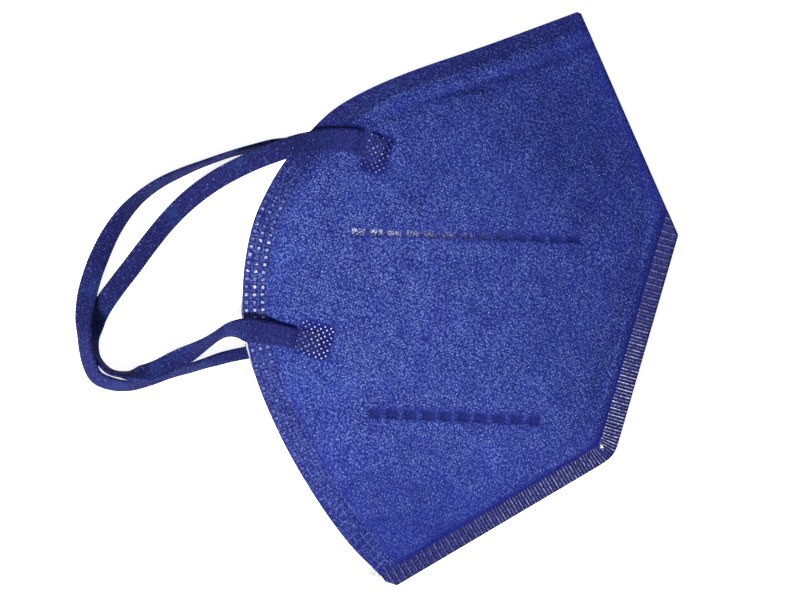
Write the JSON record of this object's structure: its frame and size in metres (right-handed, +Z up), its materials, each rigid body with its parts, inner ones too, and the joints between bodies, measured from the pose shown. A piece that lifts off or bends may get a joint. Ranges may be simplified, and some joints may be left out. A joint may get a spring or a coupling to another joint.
{
  "type": "disposable flat-fold respirator mask",
  "caption": "Flat-fold respirator mask lying folded on its side, open at the face rim, with flat elastic ear loops and a bendable nose strip.",
  "frame": {"origin": "Under the middle of the mask body's box, on the surface the folded mask lies on; the ear loops are left out of that box.", "axes": "+Y runs from the chin to the top of the nose edge, +X from the face rim to the front fold and seam, +Z up through the two folded halves."},
  "size_m": [0.1477, 0.158, 0.0161],
  "materials": {
    "blue_nonwoven": "matte spunbond non-woven with a fine bonded dot pattern and welded edges",
    "white_lining": "soft matte white non-woven",
    "nose_strip": "plain soft aluminium strip",
    "navy_elastic": "matte knitted flat elastic"
  },
  "bodies": {
    "root": {"outer_shell": "blue_nonwoven", "inner_lining": "white_lining", "nose_clip": "nose_strip", "ear_loop_near": "navy_elastic", "ear_loop_far": "navy_elastic"}
  },
  "joints": []
}
